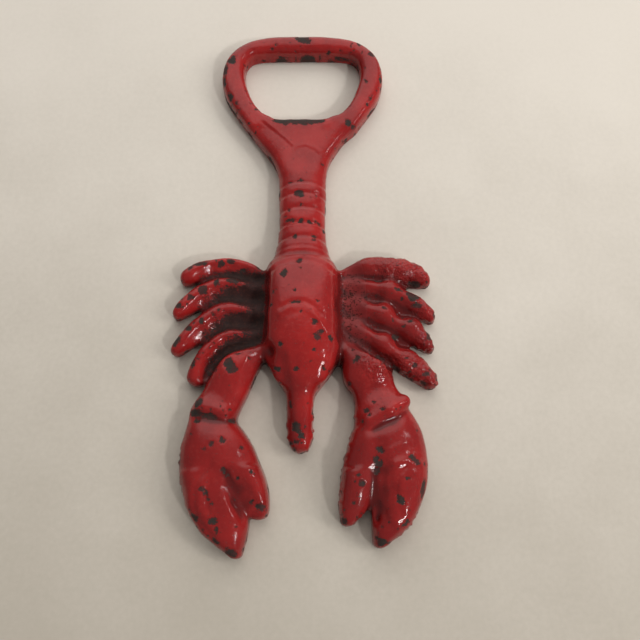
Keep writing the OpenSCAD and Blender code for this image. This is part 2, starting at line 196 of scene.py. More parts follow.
RIGHT_FLANKS = [
    [(13.6, -2.7, 7.2, 1.5), (17.5, -2.6, 6.9, 1.5), (21.5, -3.0, 6.8, 1.6), (25.5, -3.8, 6.5, 1.7),
     (29.5, -5.1, 6.1, 1.8)],
    [(15.0, -8.5, 7.0, 1.4), (18.0, -8.9, 6.8, 1.5), (21.0, -9.8, 6.7, 1.6), (24.4, -11.5, 6.5, 1.7),
     (27.8, -13.3, 6.2, 1.7), (30.6, -14.4, 6.0, 1.6)],
    [(15.0, -15.0, 7.1, 1.4), (18.2, -16.4, 6.9, 1.5), (21.2, -18.2, 6.7, 1.6), (24.0, -20.0, 6.5, 1.6),
     (27.0, -21.8, 6.2, 1.6), (29.4, -23.0, 6.0, 1.6)],
    [(14.0, -20.8, 7.2, 1.5), (16.8, -22.7, 6.8, 1.5), (19.9, -25.2, 6.5, 1.5), (22.5, -27.2, 6.3, 1.5),
     (24.4, -29.0, 6.2, 1.5)],
]
RIGHT_GROOVES = [
    [(17.5, -3.2, 4.8, 0.8), (21.5, -3.6, 4.6, 0.9), (25.5, -4.7, 4.5, 0.9), (29.5, -6.1, 4.3, 0.9)],
    [(17.5, -9.7, 4.9, 0.7), (20.5, -10.4, 4.7, 0.9), (24.0, -12.1, 4.5, 0.9), (27.5, -13.9, 4.3, 0.9),
     (30.4, -15.0, 4.2, 0.8)],
    [(17.5, -17.0, 4.9, 0.7), (20.5, -18.5, 4.7, 0.9), (23.5, -20.3, 4.5, 0.9), (26.5, -22.3, 4.3, 0.9),
     (29.0, -23.5, 4.2, 0.8)],
    [(16.0, -23.0, 5.0, 0.8), (19.5, -25.4, 4.7, 0.9), (22.3, -27.4, 4.5, 0.9), (24.2, -29.2, 4.4, 0.9)],
]

# Hollows beside the body, where the legs' roots sink into the web.
ROOT_HOLLOWS = [
    [(-12.2, -4.0, 8.0, 2.7), (-12.3, -12.0, 7.9, 2.8), (-12.2, -20.5, 8.2, 2.6)],
    [(12.9, -3.0, 8.4, 3.3), (13.2, -12.0, 8.3, 3.6), (12.6, -20.5, 8.8, 3.2)],
]

# Knuckles on the right legs, and the eyes' low swellings beside the keel.
KNUCKLES = [
    [(24.4, -6.9, 3.6, 2.6)],
    [(22.6, -13.6, 3.5, 2.6)],
    [(29.9, -17.9, 3.5, 2.5)],
    [(22.4, -22.2, 3.6, 2.5)],
    [(28.6, -26.9, 3.5, 2.4)],
    [(18.6, -0.2, 3.4, 2.6), (27.5, -1.0, 3.4, 2.8)],
]
EYES = [
    [(5.2, -28.4, 8.6, 3.0), (4.4, -31.5, 8.0, 2.4)],
    [(-6.0, -28.0, 7.6, 2.8), (-5.2, -31.5, 7.0, 2.2)],
]

# Metal that fills the corners between the lip and the loop.
LIP_CORNERS = [
    [(-12.4, 46.6, 4.4, 1.8), (-9.2, 44.8, 4.5, 1.9)],
    [(8.9, 46.7, 4.4, 1.8), (6.6, 45.0, 4.5, 1.8)],
]

# The front of the carapace falls away on both sides of a keel that runs on into the rostrum.
KEEL_SIDES = [
    [(-8.2, -24.0, 15.2, 2.8), (-6.6, -29.0, 13.4, 3.0), (-5.4, -34.0, 11.2, 2.6)],
    [(7.6, -28.0, 14.6, 2.6), (6.6, -33.0, 12.4, 2.4)],
]
ROSTRUM_SIDES = [
    [(-5.2, -38.0, 9.2, 2.6), (-5.0, -44.0, 8.6, 2.6), (-4.6, -50.0, 8.2, 2.6)],
    [(4.4, -38.5, 9.2, 1.9), (4.1, -44.0, 8.6, 1.9), (3.8, -50.0, 8.2, 2.0)],
]

# The left arm's long right slope, the right arm's round shoulder with the dip in front of it, and
# the folds and grooves at both wrists.
ARM_SLOPES = [
    [(-10.6, -26.5, 10.4, 3.6), (-11.8, -33.0, 10.0, 4.0), (-14.0, -40.0, 9.8, 3.6)],
    [(25.5, -31.8, 10.2, 1.8), (20.5, -34.6, 11.0, 2.2), (14.5, -36.4, 10.2, 1.8)],
]
SHOULDER = [
    [(17.2, -26.8, 4.8, 4.0), (20.2, -29.2, 5.0, 4.3)],
]
WRIST_GROOVES = [
    [(-30.2, -42.0, 7.2, 1.1), (-25.5, -42.6, 8.9, 1.1), (-20.5, -43.4, 8.9, 1.0), (-15.8, -44.3, 7.4, 1.2)],
    [(27.6, -41.8, 9.0, 1.1), (23.6, -43.8, 9.6, 1.2), (18.0, -46.4, 9.4, 1.1)],
]
WRIST_RIDGES = [
    [(26.8, -38.6, 6.5, 1.9), (22.8, -41.0, 7.5, 2.1), (17.6, -43.6, 7.0, 1.9)],
    [(-25.6, -39.8, 6.4, 2.3), (-20.4, -41.6, 6.6, 2.0)],
]

# Claws: the dip that parts finger and thumb, and the pads that stand out of the fingers.
CLAW_DIPS = [
    [(-17.4, -57.0, 12.2, 3.0), (-15.0, -61.5, 11.2, 3.5), (-12.7, -65.5, 9.9, 3.5),
     (-11.3, -69.0, 8.8, 3.4)],
    [(17.6, -45.0, 12.4, 3.0), (19.0, -51.0, 13.6, 4.4), (19.6, -56.5, 13.2, 4.7), (19.4, -62.0, 11.8, 4.4),
     (18.9, -66.0, 10.0, 3.9)],
]
CLAW_GROOVES = [
    [(-18.8, -60.0, 8.7, 0.6), (-16.6, -64.0, 7.9, 0.8), (-14.0, -68.2, 6.9, 1.0)],
    [(19.3, -60.0, 8.3, 0.6), (19.1, -64.5, 6.9, 1.0), (18.7, -68.0, 6.0, 1.2)],
]
CLAW_PADS = [
    [(25.0, -55.0, 6.4, 2.6), (24.4, -59.0, 6.0, 2.7), (24.5, -63.5, 5.4, 2.7), (24.6, -67.5, 4.6, 2.5)],
    [(-25.4, -59.5, 6.4, 2.6), (-25.6, -64.0, 6.0, 2.6), (-22.4, -69.5, 5.0, 2.6)],
    [(-18.6, -62.5, 6.2, 2.2), (-16.2, -67.0, 5.5, 2.2)],
]


# The order of the work: strokes, the blend in mm, and whether they add metal or carve it away.
WORK = [
    (CLAW_PADS, 1.6, True),
    (EYES + LIP_CORNERS + SHOULDER, 1.4, True),
    (LEFT_FLANKS, 1.8, False),
    (RIGHT_FLANKS, 2.4, False),
    (ROOT_HOLLOWS, 2.2, False),
    (LEFT_GROOVES + RIGHT_GROOVES, 0.8, False),
    (KNUCKLES, 2.2, True),
    (KEEL_SIDES + ROSTRUM_SIDES + ARM_SLOPES + CLAW_DIPS, 1.4, False),
    (WRIST_RIDGES, 1.2, True),
    (WRIST_GROOVES + CLAW_GROOVES, 0.8, False),
]


def cast_grid():
    """The worked and filleted casting, as a grid of distances."""
    solid = joined_regions()
    for strokes, blend, add in WORK:
        work(solid, strokes, blend, add)
    return blurred(solid, FILLET)


# ---------------------------------------------------------------- fine relief on the surface


def sampled(values, points):
    """A grid's values at points, linear between the grid's own points."""
    place = np.clip((points - LOW) / VOXEL, 0, np.array(SHAPE) - 1.001)
    cell = place.astype(int)
    part = place - cell
    total = 0
    for corner in np.ndindex(2, 2, 2):
        weight = np.prod(np.where(corner, part, 1 - part), axis=1)
        i, j, k = (cell + corner).T
        total = total + weight * values[i, j, k]
    return total


def vertex_normals(points, quads):
    """Unit normals at the points, outwards, from the quads' diagonals."""
    across = points[quads[:, 2]] - points[quads[:, 0]]
    along = points[quads[:, 3]] - points[quads[:, 1]]
    face = np.cross(across, along)
    normals = np.zeros_like(points)
    for k in range(4):
        np.add.at(normals, quads[:, k], face)
    return normals / np.linalg.norm(normals, axis=1, keepdims=True)


def grain(points, cell, seed):
    """Smooth random values from -1 to 1 that change over about cell mm."""
    place = points / cell + 1000
    corner = np.floor(place).astype(np.int64)
    part = place - corner
    part = part * part * (3 - 2 * part)
    total = 0
    for offset in np.ndindex(2, 2, 2):
        weight = np.prod(np.where(offset, part, 1 - part), axis=1)
        i, j, k = (corner + offset).T
        mixed = (i * 73856093) ^ (j * 19349663) ^ (k * 83492791) ^ (seed * 2654435761)
        mixed = ((mixed ^ (mixed >> 13)) * 1274126177) & 0x7FFFFFFF
        total = total + weight * ((mixed % 65536) / 32768 - 1)
    return total


def path_distance(x, y, path):
    """Distance in plan from points to a path of (x, y) points."""
    nearest = np.full(len(x), 1e9)
    for a, b in zip(path, path[1:]):
        run = (b[0] - a[0], b[1] - a[1])
        t = ((x - a[0]) * run[0] + (y - a[1]) * run[1]) / (run[0] ** 2 + run[1] ** 2)
        t = np.clip(t, 0, 1)
        nearest = np.minimum(nearest, np.hypot(x - a[0] - t * run[0], y - a[1] - t * run[1]))
    return nearest


def near_zone(x, y, centre, reach, fade=2.5):
    """1 inside an oval in plan, falling to 0 over fade mm outside it."""
    away = np.hypot((x - centre[0]) / reach[0], (y - centre[1]) / reach[1]) - 1
    return np.clip(1 - away * min(reach) / fade, 0, 1)


# Fine lines on the top: path in plan, width, and height, which is below zero for a groove.
LINES = [
    ([(-5.8, -16.4), (-4.4, -15.2), (-2.6, -14.5), (0.2, -14.5), (2.4, -15.4), (4.2, -17.4),
      (5.6, -19.6), (7.2, -22.6)], 0.8, 0.28),
    ([(-5.4, -14.6), (-2.6, -13.1), (0.4, -13.1), (3.0, -14.2), (5.0, -16.4)], 0.8, -0.24),
    ([(-9.2, -2.4), (-6.5, -0.4), (-3.0, 0.8), (0.0, 1.1), (3.0, 0.8), (6.0, -0.4), (8.8, -2.2)],
     0.6, 0.26),
    ([(-9.2, -3.8), (-6.5, -1.8), (-3.0, -0.5), (0.0, -0.2), (3.0, -0.5), (6.0, -1.8), (8.8, -3.6)],
     0.6, -0.2),
    ([(-12.6, 45.6), (-9.2, 42.5), (-6.2, 39.8), (-3.8, 37.2), (-3.4, 35.8)], 0.45, -0.13),
    ([(-11.8, 46.0), (-8.5, 43.0), (-5.5, 40.3), (-3.2, 38.0)], 0.5, 0.12),
    ([(-3.4, 35.8), (-2.3, 37.4), (0.4, 38.1), (3.0, 37.1), (4.8, 35.7)], 0.45, 0.09),
    ([(-3.0, 34.6), (-1.6, 36.4), (0.4, 37.0), (2.8, 36.0), (4.2, 34.6)], 0.45, -0.09),
    ([(-22.6, -54.5), (-25.0, -57.5), (-26.4, -61.0), (-26.4, -65.0), (-24.6, -69.0), (-21.6, -72.0)],
     0.9, -0.3),
    ([(-22.6, -58.5), (-23.6, -62.0), (-22.6, -66.0)], 0.6, -0.25),
    ([(26.2, -55.6), (24.6, -57.2), (23.8, -60.6), (24.0, -64.0), (25.2, -66.6)], 0.7, -0.22),
    ([(30.0, -54.2), (26.8, -53.4), (23.6, -54.6), (22.0, -57.6), (21.6, -62.0), (22.2, -66.5),
      (24.0, -69.5)], 1.0, 0.26),
    ([(30.0, -55.6), (26.8, -54.9), (24.4, -56.2)], 0.7, -0.16),
    ([(20.6, -52.4), (23.4, -50.8), (26.6, -49.4)], 0.9, 0.22),
]

# The tail's plates: each has a ridge at its rear edge and a groove behind the ridge.
TAIL_EDGES = [24.2, 20.7, 16.1, 11.3, 6.9, 3.8]  # where the rear edges cross the midline
TAIL_DEPTHS = [0.7, 0.8, 1.0, 1.5, 0.8, 0.6]  # how strong each edge is
TAIL_BOW = 1.0  # mm that an edge curves towards the head, TAIL_HALF from the midline
TAIL_HALF = 7.0
RIDGE, GROOVE = 0.16, 0.18  # mm
RIDGE_WIDTH = 0.45
RIDGE_TO_GROOVE = 0.9

# Places in plan where the sand left a coarse grain, and edges that it left serrated.
GRANULAR = [
    ((29, -0.5), (7, 4.5)),
    ((34, -13.5), (3.0, 4)),
    ((34.5, -32), (5, 5)),
    ((28.5, -29), (4, 3)),
    ((20.5, -29.0), (3.5, 2.5)),
    ((34.5, -22), (2.5, 3)),
]
SERRATED = [
    ((-0.5, -45), (5, 8)),
    ((-31, -56), (3, 9)),
    ((32, -28), (7, 9)),
    ((28, 1), (11, 4)),
    ((13, -56), (4, 14)),
    ((27, -69), (7, 7)),
]
COARSE = 0.18  # mm, the height of the coarse grain
BURR = 0.55  # mm, the height of the burrs on serrated edges


def relief(points, normals):
    """Height of the fine relief at each point, in mm."""
    x, y, z = points.T
    up = np.clip(normals[:, 2] * 1.6, 0, 1)
    side = np.clip(1 - np.abs(normals[:, 2]) * 1.3, 0, 1) * np.clip(z - 0.4, 0, 1)
    height = np.zeros(len(x))
    for path, width, rise in LINES:
        height += rise * up * np.exp(-((path_distance(x, y, path) / width) ** 2))
    for edge, depth in zip(TAIL_EDGES, TAIL_DEPTHS):
        away = y - (edge - TAIL_BOW * (x / TAIL_HALF) ** 2)
        lip = np.exp(-((away / RIDGE_WIDTH) ** 2)) * RIDGE
        lip -= np.exp(-(((away - RIDGE_TO_GROOVE) / RIDGE_WIDTH) ** 2)) * GROOVE
        height += depth * lip * np.clip(1.8 - np.abs(x) / 6.0, 0, 1) * np.clip(z - 2, 0, 1)
    carapace = near_zone(x, y, (0, -18), (12, 22))  # smoother than the rest
    height += 0.018 * grain(points, 1.6, 3) + 0.012 * grain(points, 0.8, 4)
    height += 0.06 * grain(points, 4.5, 5) * (1 - 0.6 * carapace)
    height += sand_at(points) * (COARSE * grain(points, 1.1, 6) + COARSE * grain(points, 1.7, 7))
    edges = np.zeros(len(x))
    for centre, reach in SERRATED:
        edges = np.maximum(edges, near_zone(x, y, centre, reach, 1.0))
    burrs = np.clip(grain(points * (1, 1, 0.35), 0.9, 8) - 0.05, -0.1, 1)  # drawn out in height
    height += edges * side * BURR * burrs
    return height


def sand_at(points):
    """How coarse the casting's grain is, 0 to 1."""
    x, y, z = points.T
    sand = np.zeros(len(x))
    for centre, reach in GRANULAR:
        sand = np.maximum(sand, near_zone(x, y, centre, reach, 3.0))
    return sand


# ---------------------------------------------------------------- chips in the enamel

# Chips at known places: x, y, length, width, the angle of the length from +X in degrees, and the
# height where the chip isn't on top.
CHIPS = [
    # loop
    (-1.0, 76.0, 4.6, 3.6, 0), (1.2, 74.6, 2.0, 1.6, 60),
    (-22.3, 68.0, 2.2, 3.4, 0), (-24.6, 64.5, 1.5, 5.0, 0), (-24.8, 60.5, 1.4, 3.5, 0),
    (-22.6, 55.0, 1.6, 3.6, 20), (-20.6, 52.5, 0.8, 1.0, 0), (20.8, 70.0, 2.4, 1.8, -40),
    (23.6, 61.5, 1.0, 2.6, 0), (23.8, 58.5, 0.9, 1.4, 0),
    (-7.5, 71.4, 5.0, 1.2, 0, 0.8), (1.0, 71.4, 6.0, 2.6, 0, 1.4), (8.5, 71.4, 3.0, 0.7, 0, 0.6),
    (20.2, 54.0, 1.0, 1.7, -30),
    (19.3, 52.1, 0.9, 0.9, 0), (13.4, 45.2, 2.6, 1.6, -50), (14.6, 44.4, 1.5, 1.2, 0),
    (-6.2, 46.2, 7.4, 2.7, 0), (-1.6, 46.2, 8.0, 2.7, 0),
    (2.9, 46.2, 6.6, 2.6, 0), (-2.6, 45.0, 1.0, 0.9, 0), (-16.5, 45.3, 0.7, 0.8, 0),
    (-14.6, 42.6, 0.6, 0.7, 0), (-9.0, 73.6, 0.7, 0.7, 0), (14.5, 72.8, 0.6, 0.6, 0),
    # tail
    (-1.0, 21.4, 2.4, 2.4, 8), (-7.2, 22.9, 1.2, 2.4, 0), (-3.6, 12.9, 3.2, 1.1, 5),
    (-0.7, 12.3, 1.6, 1.4, 0), (1.8, 12.2, 1.3, 1.5, 20), (4.2, 12.2, 2.4, 0.7, -25),
    (6.0, 10.4, 1.2, 2.0, 0), (-2.2, 7.4, 1.2, 1.4, 0), (3.1, 7.8, 2.0, 0.9, -20),
    (3.3, 6.5, 0.9, 0.8, 0), (-0.8, 25.6, 1.8, 0.7, 0), (-0.7, 17.6, 1.2, 0.6, 0),
    (3.8, 20.8, 0.6, 0.7, 0), (-0.9, -0.6, 2.0, 1.4, 0), (-4.0, 16.2, 0.8, 1.4, 0),
    # carapace
    (-4.9, -4.6, 1.9, 2.3, -20), (-1.7, -13.1, 3.2, 0.9, 0), (-0.2, -15.9, 0.7, 0.7, 0),
    (3.4, -18.4, 1.4, 1.7, 30), (3.9, -22.3, 1.9, 1.7, 0), (4.9, -21.2, 1.3, 1.6, -30),
    (7.6, -22.7, 1.1, 2.6, 30), (-6.3, -30.6, 1.9, 1.3, 0), (-1.4, -30.8, 1.1, 1.1, 0),
    (3.4, -25.9, 0.9, 0.9, 0), (5.8, -30.6, 0.9, 1.3, 0), (-1.9, -9.9, 0.9, 0.9, 0),
    (2.5, -29.0, 0.6, 0.6, 0), (-8.4, -13.6, 0.9, 0.9, 0), (4.2, -12.8, 0.6, 0.7, 0),
    (-7.7, -9.9, 0.7, 0.7, 0),
    # rostrum
    (-1.5, -44.9, 2.4, 2.2, -40), (-0.9, -46.2, 1.7, 2.2, 30), (0.2, -47.6, 1.7, 1.7, 0),
    (-1.2, -49.1, 1.9, 1.0, 10), (-2.9, -39.7, 0.9, 2.0, 0), (0.9, -45.4, 0.7, 0.8, 0),
    (-1.8, -51.0, 0.9, 0.9, 0),
    # left legs
    (-28.9, 0.5, 5.0, 1.7, 8), (-31.6, -0.7, 1.6, 1.5, 30), (-23.3, 0.6, 1.7, 1.9, 0),
    (-20.3, 1.1, 2.4, 1.5, 0), (-17.0, -1.2, 1.6, 1.2, 0), (-19.8, -4.4, 4.3, 2.0, -5),
    (-24.2, -4.8, 1.4, 2.7, -10), (-27.4, -7.2, 2.5, 2.4, 0), (-31.2, -9.6, 1.7, 1.6, 30),
    (-34.2, -11.9, 1.9, 2.2, 50), (-27.6, -16.3, 1.3, 1.3, 0), (-23.0, -13.2, 0.9, 1.2, 0),
    (-31.0, -18.4, 2.2, 1.9, -40), (-34.4, -22.0, 2.0, 3.6, -10), (-24.5, -14.4, 0.9, 0.9, 0),
    (-29.4, -28.3, 1.3, 3.0, -5), (-24.0, -10.2, 1.0, 0.9, 0),
    # right legs
    (31.6, -5.3, 3.8, 2.2, -10), (30.3, -9.0, 3.0, 3.3, 0), (31.3, -11.9, 2.9, 1.4, 0),
    (36.5, -14.6, 0.9, 2.2, 0), (34.6, -20.6, 1.3, 2.8, 15), (30.3, -28.9, 1.3, 1.3, 0),
    (33.1, -31.0, 2.0, 1.1, 20), (29.4, -16.6, 1.7, 0.9, 15), (25.2, -20.6, 2.2, 1.8, -40),
    (26.6, -7.5, 2.4, 0.9, 0), (21.2, -4.6, 2.4, 0.6, -5), (27.6, -18.0, 0.9, 1.1, 0),
    (25.6, -29.2, 3.4, 0.9, -42), (32.6, -33.4, 2.4, 0.9, -20), (21.0, -26.3, 3.0, 1.0, -35),
    # left arm and claw
    (-19.0, -29.0, 3.4, 2.6, -10), (-18.0, -30.4, 2.4, 2.4, 0), (-22.8, -30.4, 1.1, 0.9, 0),
    (-26.6, -38.8, 2.4, 3.2, 0), (-27.6, -41.7, 5.4, 2.2, -4), (-23.6, -42.7, 4.4, 1.7, -12),
    (-18.0, -43.6, 2.8, 1.3, -10), (-27.0, -43.8, 2.0, 1.2, 0), (-17.0, -26.2, 1.7, 0.6, 0),
    (-23.3, -41.0, 0.6, 0.6, 0),
    (-22.7, -49.9, 1.4, 1.6, -30), (-19.8, -48.9, 1.5, 1.4, 0), (-24.4, -51.0, 1.0, 0.9, 0),
    (-19.2, -56.2, 1.0, 2.4, 20), (-18.6, -57.4, 1.1, 0.9, 0), (-24.4, -60.9, 2.4, 1.1, -15),
    (-23.6, -61.8, 1.2, 1.1, 0),
    (-22.8, -63.0, 0.8, 0.9, 0), (-21.8, -64.4, 0.6, 0.8, 0), (-21.6, -68.2, 2.6, 1.5, -10),
    (-9.9, -65.1, 2.8, 1.5, 0), (-8.6, -67.5, 1.0, 1.6, 0), (-17.3, -75.9, 3.6, 2.3, -20),
    (-26.4, -67.4, 2.4, 1.6, -40), (-21.0, -73.1, 1.8, 1.1, -40), (-31.4, -53.0, 0.8, 3.4, 0),
    (-20.6, -70.6, 0.9, 1.6, 0), (-15.9, -58.1, 0.9, 0.8, 0), (-12.4, -63.9, 0.9, 1.4, 0),
    # right arm and claw
    (14.5, -27.8, 2.8, 1.3, 35), (17.0, -41.2, 1.4, 1.1, 0), (18.9, -38.9, 0.8, 0.8, 0),
    (21.0, -41.0, 1.0, 0.9, 0), (17.7, -42.2, 0.8, 0.7, 0), (20.1, -51.2, 2.1, 1.3, 0),
    (19.6, -54.6, 2.6, 1.6, 0), (19.2, -56.2, 1.5, 1.8, 0), (18.9, -53.6, 1.6, 1.4, 0),
    (28.3, -53.2, 2.8, 1.6, -25),
    (29.5, -54.4, 1.4, 1.0, 0), (30.8, -60.6, 1.5, 5.2, -10), (15.2, -59.4, 1.4, 2.2, -15),
    (25.0, -63.7, 2.2, 1.7, -30), (26.0, -69.0, 3.0, 1.1, 40), (20.3, -73.4, 2.6, 2.2, 0),
    (10.9, -68.6, 2.0, 1.7, 0), (26.8, -58.2, 1.2, 0.8, 0), (14.3, -57.3, 1.1, 0.9, 0),
    (13.4, -64.1, 0.8, 0.8, 0), (31.4, -54.6, 0.5, 0.9, 0), (24.4, -62.4, 0.9, 0.9, 0),
]
CORE = 0.86  # a chip's main oval, as a share of its length and width
LOBES = 3  # smaller ovals that make each chip's outline uneven
SPECKS = 300  # tiny chips scattered at random, more of them on edges
SPECKS_ABOVE = 1.0  # mm above the table
FAR = 5.0  # mm, stands for no chip near
WORN = 1.26  # mm; low walls and grain lower it, and iron shows where it falls below 0
LOW_WALL = 4.6  # mm above the table: only walls below this height wear through
CHIP_SLOPE = 0.3  # mm over which the enamel steps down to the iron
PAINT_DEPTH = 0.1  # mm from the enamel's surface to the bare iron


def top_height(points, normals, x, y):
    """The height of the upward surface nearest to a place in plan."""
    near = np.hypot(points[:, 0] - x, points[:, 1] - y) + 2.0 * (normals[:, 2] < 0.15)
    return points[np.argmin(near), 2]


def oval_distance(points, centre, half_length, half_width, angle):
    """About the distance from an oval blob's edge, below zero inside."""
    turn = math.radians(angle)
    x, y, z = (points - centre).T
    along = x * math.cos(turn) + y * math.sin(turn)
    across = y * math.cos(turn) - x * math.sin(turn)
    depth = z / max(half_length, half_width, 1.0)
    size = min(half_length, half_width)
    return (np.sqrt((along / half_length) ** 2 + (across / half_width) ** 2 + depth**2) - 1) * size


def chip_distance(points, normals, convexity):
    """Signed distance in mm to the nearest chip's edge, below zero where the iron is bare."""
    nearest = np.full(len(points), FAR)

    def lay(centre, half_length, half_width, angle):
        reach = 3 * max(half_length, half_width) + 2
        close = np.all(np.abs(points - centre) < reach, axis=1)
        away = oval_distance(points[close], centre, half_length, half_width, angle)
        nearest[close] = np.minimum(nearest[close], away)

    for x, y, length, width, angle, *z in CHIPS:
        centre = np.array([x, y, z[0] if z else top_height(points, normals, x, y)])
        lay(centre, length / 2 * CORE, width / 2 * CORE, angle)
        for _ in range(LOBES):
            turn = rng.uniform(0, 2 * math.pi)
            out = rng.uniform(0.35, 0.85)
            ax, ay = math.cos(turn) * out * length / 2, math.sin(turn) * out * width / 2
            swing = math.radians(angle)
            offset = (
                ax * math.cos(swing) - ay * math.sin(swing),
                ax * math.sin(swing) + ay * math.cos(swing),
                0,
            )
            size = rng.uniform(0.24, 0.46) * min(length, width)
            lay(centre + offset, size * rng.uniform(0.9, 1.3), size, rng.uniform(0, 180))
    low_wall = np.clip(1 - np.abs(normals[:, 2]) * 1.5, 0, 1)
    low_wall = low_wall * np.clip((LOW_WALL - points[:, 2]) / 1.5, 0, 1)
    worn = WORN - 1.1 * low_wall - 0.8 * grain(points, 3.2, 9) - 0.4 * grain(points, 1.1, 10)
    nearest = np.minimum(nearest, worn)
    weight = np.clip(convexity, 0, 1) ** 2 + 0.04
    weight[points[:, 2] <= SPECKS_ABOVE] = 0
    for i in rng.choice(len(points), SPECKS, p=weight / weight.sum()):
        size = 0.10 + rng.exponential(0.10)
        lay(points[i], size * rng.uniform(1, 1.8), size, rng.uniform(0, 180))
    return nearest


# ---------------------------------------------------------------- where the enamel is dull or dirty, and where shade is painted on it

# Places in plan where painted shade darkens the enamel, and how much; where it is strongest, dust also dulls
# it.
SHADE_AND_DUST_ZONES = [
    ((21, -11), (11, 12), 0.75),
    ((14.5, -12), (2.5, 11), 1.2),
    ((30, -25), (8, 8), 0.65),
    ((-22, -12), (11, 12), 0.1),
    ((-10.5, -12), (2.5, 12), 0.7),
    ((22, -60), (13, 16), 0.62),
    ((15, -60), (3.5, 10), 0.85),
    ((-21, -60), (12, 18), 0.62),
    ((-24, -37), (5, 6), 0.5),
    ((-3.5, -44), (2, 7), 0.7),
]


def shade_and_dust_at(points):
    """How much painted shade darkens the enamel, from 0 up; where it is high, dust also dulls it."""
    x, y, z = points.T
    shade_and_dust = np.zeros(len(x))
    for centre, reach, strength in SHADE_AND_DUST_ZONES:
        shade_and_dust = np.maximum(shade_and_dust, strength * near_zone(x, y, centre, reach, 4.0))
    return shade_and_dust


# Where dirt, deepened by painted shade, lies in the valleys between the legs: the side's sign, how much,
# and how far out from the midline it is full and where it ends.
DIRT_AND_SHADE_SIDES = [(-1, 1.0, 20.0, 31.0), (1, 0.34, 18.0, 28.0)]
DIRT_AND_SHADE_FLOOR = (3.6, 5.6)  # mm above the table: full dirt and painted shade below, none above
CLEAN_BACK = 0.8  # mm above the table: no dirt or painted shade below, so none on the flat back


def grime_and_shade_at(points):
    """How much dark, bare metal and dirt, deepened by painted shade, fills the valleys between the legs, 0
    to 1.
    """
    x, y, z = points.T
    along = np.clip((-0.5 - y) / 2.0, 0, 1) * np.clip((y + 33.0) / 2.0, 0, 1)
    along *= np.clip((y + 25.0 + (np.abs(x) - 11) * 0.9) / 2.5, 0, 1)
    low = np.clip((DIRT_AND_SHADE_FLOOR[1] - z) / (DIRT_AND_SHADE_FLOOR[1] - DIRT_AND_SHADE_FLOOR[0]), 0, 1)
    grime_and_shade = np.zeros(len(x))
    for side, strength, full, none in DIRT_AND_SHADE_SIDES:
        out = x * side
        reach = np.clip((none - out) / (none - full), 0, 1) * np.clip((out - 9.5) / 1.5, 0, 1)
        root = np.clip((17.0 - out) / 2.5, 0, 1)
        grime_and_shade = np.maximum(grime_and_shade, strength * reach * np.clip(low + 0.2 * root, 0, 1))
    return grime_and_shade * along * np.clip((z - CLEAN_BACK) / CLEAN_BACK, 0, 1)


# ---------------------------------------------------------------- the mesh

TRIANGLES = 190_000
CONVEXITY_BLUR = 1.4  # mm
CONVEXITY_GAIN = 2.2


def make_mesh(name, points, quads):
    mesh = bpy.data.meshes.new(name)
    mesh.from_pydata((points * MM).tolist(), [], quads.tolist())
    mesh.validate()
    mesh.shade_smooth()
    piece = bpy.data.objects.new(name, mesh)
    bpy.context.scene.collection.objects.link(piece)
    return piece


def store(piece, name, values):
    """Gives the materials a value at each point."""
    layer = piece.data.attributes.new(name, "FLOAT", "POINT")
    layer.data.foreach_set("value", np.asarray(values, np.float32))


def thin_out(piece, share):
    """Joins triangles where the surface is flattest, mostly on the back, down to a share of them."""
    fewer = piece.modifiers.new("fewer", "DECIMATE")
    fewer.ratio = share
    evaluated = piece.evaluated_get(bpy.context.evaluated_depsgraph_get())
    piece.data = bpy.data.meshes.new_from_object(evaluated)
    piece.modifiers.remove(fewer)


def cast():
    """The whole casting, with the values that its enamel reads."""
    grid = cast_grid()
    points, quads = surface(grid)
    normals = vertex_normals(points, quads)
    convexity = sampled(blurred(grid, CONVEXITY_BLUR), points) * CONVEXITY_GAIN
    points = points + normals * relief(points, normals)[:, None]
    chip = chip_distance(points, normals, convexity)
    bare = np.clip(0.5 - chip / CHIP_SLOPE, 0, 1)
    points = points - normals * (PAINT_DEPTH * bare)[:, None]
    points = np.clip(points, LOW + MARGIN, HIGH - MARGIN)
    piece = make_mesh("casting", points, quads)
    store(piece, "chip", chip)
    store(piece, "convexity", convexity)
    store(piece, "grime_and_shade", grime_and_shade_at(points))
    store(piece, "sand", sand_at(points))
    store(piece, "shade_and_dust", shade_and_dust_at(points))
    thin_out(piece, TRIANGLES / (2 * len(quads)))
    return piece


# ---------------------------------------------------------------- materials


class Nodes:
    """Short calls for building a material's nodes."""

    def __init__(self, name):
        self.material = bpy.data.materials.new(name)
        self.material.use_nodes = True
        self.tree = self.material.node_tree
        self.shader = self.tree.nodes["Principled BSDF"]

    def add(self, kind, inputs=None, **settings):
        """A node with these settings, and its inputs fed by sockets or values."""
        node = self.tree.nodes.new(kind)
        for key, value in settings.items():
            setattr(node, key, value)
        for key, value in (inputs or {}).items():
            self.feed(node.inputs[key], value)
        return node

    def feed(self, socket, value):
        if isinstance(value, bpy.types.NodeSocket):
            self.tree.links.new(value, socket)
        else:
            socket.default_value = value

    def math(self, operation, *values, clamp=False):
        node = self.add("ShaderNodeMath", operation=operation, use_clamp=clamp)
        for socket, value in zip(node.inputs, values):
            self.feed(socket, value)
        return node.outputs[0]

    def ramp(self, value, low, high):
        """0 at low and 1 at high, smooth between."""
        node = self.add("ShaderNodeMapRange", interpolation_type="SMOOTHSTEP")
        self.feed(node.inputs["Value"], value)
        self.feed(node.inputs["From Min"], low)
        self.feed(node.inputs["From Max"], high)
        return node.outputs["Result"]

    def mix(self, share, first, second):
        node = self.add("ShaderNodeMix", data_type="RGBA")
        self.feed(node.inputs["Factor"], share)
        self.feed(node.inputs[6], first)
        self.feed(node.inputs[7], second)
        return node.outputs[2]

    def noise(self, place, scale, detail=3.0, roughness=0.55):
        inputs = {"Vector": place, "Scale": scale, "Detail": detail, "Roughness": roughness}
        return self.add("ShaderNodeTexNoise", inputs).outputs["Fac"]

    def attribute(self, name):
        return self.add("ShaderNodeAttribute", attribute_name=name).outputs["Fac"]


